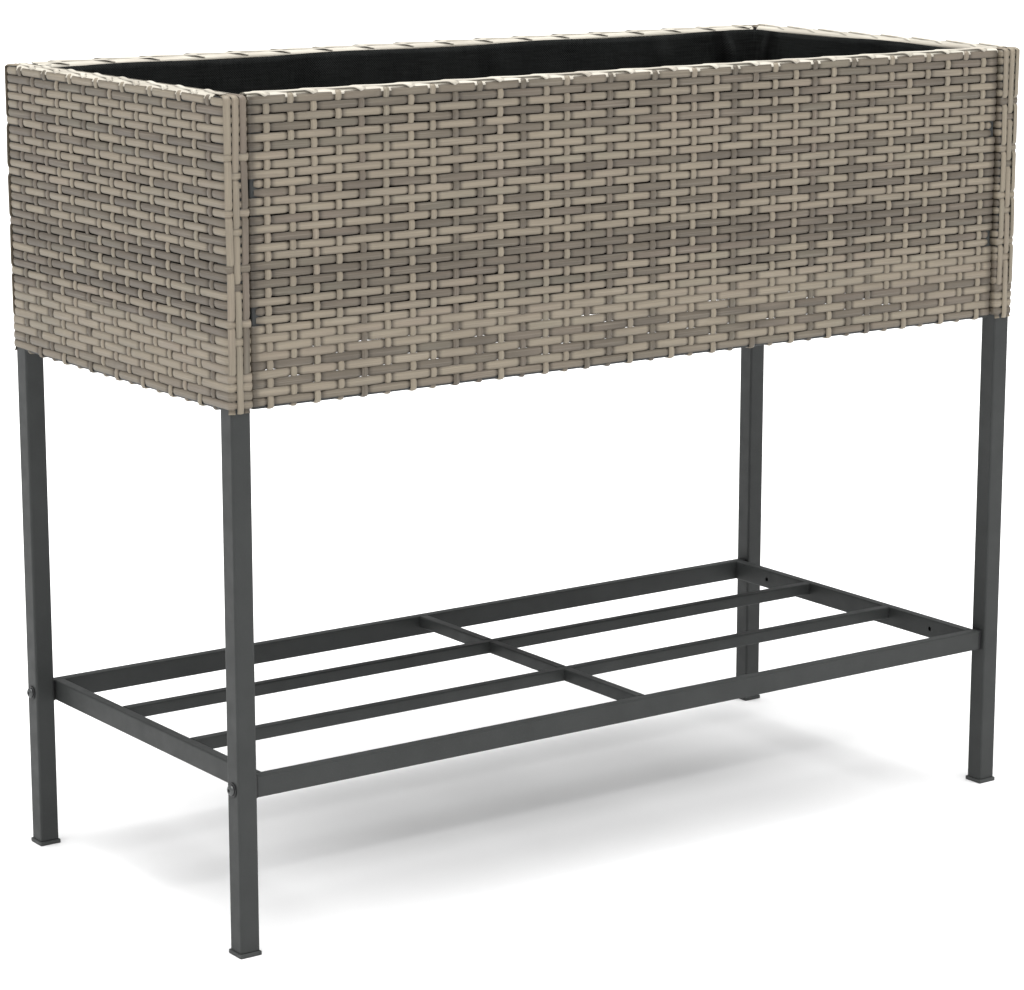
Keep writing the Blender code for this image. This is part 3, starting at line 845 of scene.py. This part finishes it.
def make_liner(cloth):
    """An open bag folded from one sheet: walls with soft vertical waves, pleats, tucked corners, and a floor
    that sags between the bars. The floor's rings shrink to a line along its middle, and are welded there."""
    low, high = LINER
    half_x = high.x - WALL_INSET
    half_y = high.y - WALL_INSET
    floor_level = low.z + FLOOR_INSET
    top = high.z + RIM_RISE
    plan = rounded_rectangle(half_x, half_y)
    around = running_length(plan)
    count = len(plan)
    beyond_x = np.abs(plan[:, 0]) > half_x - LINER_CORNER
    beyond_y = np.abs(plan[:, 1]) > half_y - LINER_CORNER
    inward = unit(-np.column_stack([np.sign(plan[:, 0]) * beyond_x, np.sign(plan[:, 1]) * beyond_y]))
    points = []
    flats = []
    faces = []

    for level in np.linspace(floor_level, top, LINER_LEVELS):
        up = (level - floor_level) / (top - floor_level)
        depth, painted_shadow = liner_folds(plan, around, half_x, half_y, up)
        spot = plan + inward * depth[:, None]
        edge = 0.0010 * np.sin(around * 26 + 1.0) * smooth((up - 0.9) / 0.1)
        points.append(np.column_stack([spot, level + edge - 0.0016 * smooth((up - 0.9) / 0.1)]))
        flats.append(np.column_stack([around, np.full(count, level), painted_shadow]))
    for ring in range(LINER_LEVELS - 1):
        below = ring * count
        above = below + count
        for i in range(count):
            j = (i + 1) % count
            faces.append([below + i, below + j, above + j, above + i])

    base = LINER_LEVELS * count
    for ring in range(1, FLOOR_RINGS + 1):
        part = 1 - ring / FLOOR_RINGS
        spot = np.column_stack([plan[:, 0] * (0.58 + 0.42 * part), plan[:, 1] * part])
        points.append(np.column_stack([spot, np.full(count, floor_level)]))
        flats.append(np.column_stack([spot, np.full(count, 0.0)]))
    for ring in range(FLOOR_RINGS):
        inner = base + ring * count
        outer = 0 if ring == 0 else inner - count
        for i in range(count):
            j = (i + 1) % count
            faces.append([outer + j, outer + i, inner + i, inner + j])

    points = np.concatenate(points)
    let_floor_sag(points[base:], half_x, half_y)
    piece = new_object("planting_liner", points.tolist(), faces)
    mesh = piece.data
    mesh.shade_smooth()
    values = mesh.attributes.new("cloth", "FLOAT_VECTOR", "POINT")
    values.data.foreach_set("vector", np.concatenate(flats).astype(np.float32).ravel())
    mesh.materials.append(cloth)
    weld = piece.modifiers.new("weld", "WELD")
    weld.merge_threshold = 0.0001
    shell = piece.modifiers.new("thickness", "SOLIDIFY")
    shell.thickness = CLOTH_THICKNESS
    shell.offset = 0.0
    declare(piece, "fabric_liner")


# ---------------------------------------------------------------- fasteners

TURNED_SIDES = 48
TURNED_SMOOTH_ANGLE = 35
# Each screw's head radius, head height, shank radius and socket radius.
SHELF_SCREW = (0.0048, 0.0028, 0.0025, 0.0019)
PANEL_SCREW = (0.0052, 0.0033, 0.003, 0.0021)
THREAD_PITCH = 0.0008
DOME_ANGLE = math.radians(62)
HEAD_EDGE = 0.0003
WASHER_HOLE = 0.0028


def hexagon(angle):
    """How far out a hexagon's edge is at this angle, as a share of its corners' radius."""
    return math.cos(math.pi / 6) / math.cos((angle % (math.pi / 3)) - math.pi / 6)


def turned(name, profile, start, facing, material, ring_shaped=False):
    """Turns a profile of (along the axis, radius, six-sided or not) round an axis parallel to x, from start
    towards the side that facing gives. A ring-shaped piece is open in the middle, and others have caps."""
    sides = TURNED_SIDES
    points = []
    for along, radius, six_sided in profile:
        for i in range(sides):
            angle = 2 * math.pi * i / sides
            reach = radius * (hexagon(angle) if six_sided else 1.0)
            points.append((start[0] + facing * along, start[1] + reach * math.cos(angle),
                           start[2] + reach * math.sin(angle)))
    rings = len(profile)
    faces = []
    for ring in range(rings if ring_shaped else rings - 1):
        here = ring * sides
        after = (ring + 1) % rings * sides
        for i in range(sides):
            j = (i + 1) % sides
            faces.append([here + i, after + i, after + j, here + j])
    if not ring_shaped:
        faces.append(list(range(sides)))
        faces.append([(rings - 1) * sides + i for i in reversed(range(sides))])
    if facing > 0:
        faces = [face[::-1] for face in faces]
    piece = new_object(name, points, faces, TURNED_SMOOTH_ANGLE)
    piece.data.materials.append(material)
    return piece


def screw_profile(length, head_radius, head_height, shank_radius, socket):
    """From the shank's tip, over its thread and the domed head, to the floor of the six-sided socket."""
    seat = length - head_height
    profile = [(0.0, shank_radius * 0.72, False), (shank_radius * 0.3, shank_radius, False)]
    for turn in range(int((seat - shank_radius * 0.6) / THREAD_PITCH)):
        along = shank_radius * 0.4 + turn * THREAD_PITCH
        profile.append((along, shank_radius, False))
        profile.append((along + THREAD_PITCH / 2, shank_radius * 0.88, False))
    profile += [(seat - 0.0001, shank_radius, False), (seat, head_radius * 0.96, False),
                (seat + HEAD_EDGE, head_radius, False)]
    for part in np.linspace(0.1, 1.0, 9):
        angle = part * DOME_ANGLE
        inwards = (1 - socket * 1.25 / head_radius) * (1 - math.cos(angle)) / (1 - math.cos(DOME_ANGLE))
        upwards = (head_height - HEAD_EDGE) * math.sin(angle) / math.sin(DOME_ANGLE)
        profile.append((seat + HEAD_EDGE + upwards, head_radius * (1 - inwards), False))
    profile += [(length - 0.0001, socket * 1.06, True), (length - 0.0004, socket, True),
                (length - 0.0017, socket, True), (length - 0.0018, socket * 0.9, True),
                (length - 0.0022, socket * 0.15, False)]
    return profile


def washer_profile(thickness, inner, outer):
    edge = thickness * 0.25
    return [(0.0, inner, False), (0.0, outer - edge, False), (edge, outer, False),
            (thickness - edge, outer, False), (thickness, outer - edge, False), (thickness, inner, False)]


def tail_of(box, facing):
    """The middle of the box's side that a fastener's head faces away from."""
    low, high = box
    return (high.x if facing < 0 else low.x, (low.y + high.y) / 2, (low.z + high.z) / 2)


def make_screw(name, node, facing, sizes, material):
    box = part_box(node)
    profile = screw_profile(box[1].x - box[0].x, *sizes)
    declare(turned(name, profile, tail_of(box, facing), facing, material), node)


def make_washer(name, node, facing, material):
    low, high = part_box(node)
    profile = washer_profile(high.x - low.x, WASHER_HOLE, (high.z - low.z) / 2)
    piece = turned(name, profile, tail_of((low, high), facing), facing, material, ring_shaped=True)
    declare(piece, node)


def make_fasteners(fastener, plastic):
    """The shelf's screws face outwards. The panels' screws face into the box."""
    for depth in ("front", "rear"):
        for side, outwards in (("left", -1), ("right", 1)):
            place = f"{depth}_{side}"
            make_screw(f"shelf_screw_{place}", f"shelf_bolt_{place}", outwards, SHELF_SCREW, fastener)
            make_washer(f"shelf_washer_ring_{place}", f"shelf_washer_{place}", outwards, plastic)
            for level in ("lower", "upper"):
                make_screw(f"panel_screw_{place}_{level}", f"panel_bolt_{place}_{level}", -outwards,
                           PANEL_SCREW, fastener)


def dress_cad_nodes(steel, plastic, caps):
    for name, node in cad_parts.items():
        for place in node.material_slots:
            if name.startswith("foot_cap"):
                place.material = caps
            elif name.startswith("shelf_end_plug"):
                place.material = plastic
            else:
                place.material = steel


# ---------------------------------------------------------------- studio

FLOOR_HALF = 30.0
WORLD_STRENGTH = 0.50
CAMERA_PLACE = (-1.7839, -2.4866, 0.9907)
CAMERA_DOWN = 12.331      # degrees below level
CAMERA_TURN = -35.37      # degrees from looking along +Y
CAMERA_LENS = 112.7       # millimetres, on a 36 mm sensor


def make_floor():
    size = FLOOR_HALF
    points = [(-size, -size, 0.0), (size, -size, 0.0), (size, size, 0.0), (-size, size, 0.0)]
    floor = new_object("studio_floor", points, [(0, 1, 2, 3)])
    floor.data.materials.append(make_ground())


def add_light(light, place, heading):
    lamp = bpy.data.objects.new(light.name, light)
    lamp.location = place
    lamp.rotation_euler = Vector(heading).to_track_quat("-Z", "Y").to_euler()
    bpy.context.scene.collection.objects.link(lamp)


def add_sun(name, heading, spread, strength):
    """A very soft light from above: an overcast skylight's worth of spread, in degrees."""
    light = bpy.data.lights.new(name, "SUN")
    light.angle = math.radians(spread)
    light.energy = strength
    add_light(light, (0.0, 0.0, 0.0), heading)


def add_panel_light(name, place, target, size, power):
    light = bpy.data.lights.new(name, "AREA")
    light.shape = "SQUARE"
    light.size = size
    light.energy = power
    add_light(light, place, Vector(target) - Vector(place))


def make_world():
    world = bpy.data.worlds.new("studio")
    world.use_nodes = True
    background = next(n for n in world.node_tree.nodes if n.type == "BACKGROUND")
    background.inputs["Color"].default_value = (1.0, 1.0, 1.0, 1)
    background.inputs["Strength"].default_value = WORLD_STRENGTH
    bpy.context.scene.world = world


def make_camera():
    camera = bpy.data.cameras.new("camera")
    camera.lens = CAMERA_LENS
    camera.sensor_width = 36.0
    camera.clip_end = 100.0
    eye = bpy.data.objects.new("camera", camera)
    eye.location = CAMERA_PLACE
    eye.rotation_euler = Euler((math.radians(90 - CAMERA_DOWN), 0.0, math.radians(CAMERA_TURN)))
    bpy.context.scene.collection.objects.link(eye)
    bpy.context.scene.camera = eye


def make_studio():
    bpy.context.scene.view_settings.view_transform = "Standard"
    make_world()
    make_floor()
    add_sun("overhead", heading=(0.06, 0.12, -1.0), spread=62.0, strength=5.0)
    add_panel_light("left", place=(-3.0, -1.6, 1.6), target=(0.0, 0.0, 0.5), size=2.0, power=2.0)
    make_camera()


make_studio()
rattan_finish = make_rattan()
steel_finish = make_steel()
plastic_finish = make_plastic("black_plastic", (0.007, 0.007, 0.008, 1), (0.014, 0.014, 0.015, 1))
cap_finish = make_plastic("grey_plastic", (0.028, 0.030, 0.029, 1), (0.035, 0.0375, 0.0365, 1))
fastener_finish = make_fastener()
make_long_panels(rattan_finish)
make_ends(rattan_finish)
make_liner(make_cloth())
make_fasteners(fastener_finish, plastic_finish)
dress_cad_nodes(steel_finish, plastic_finish, cap_finish)
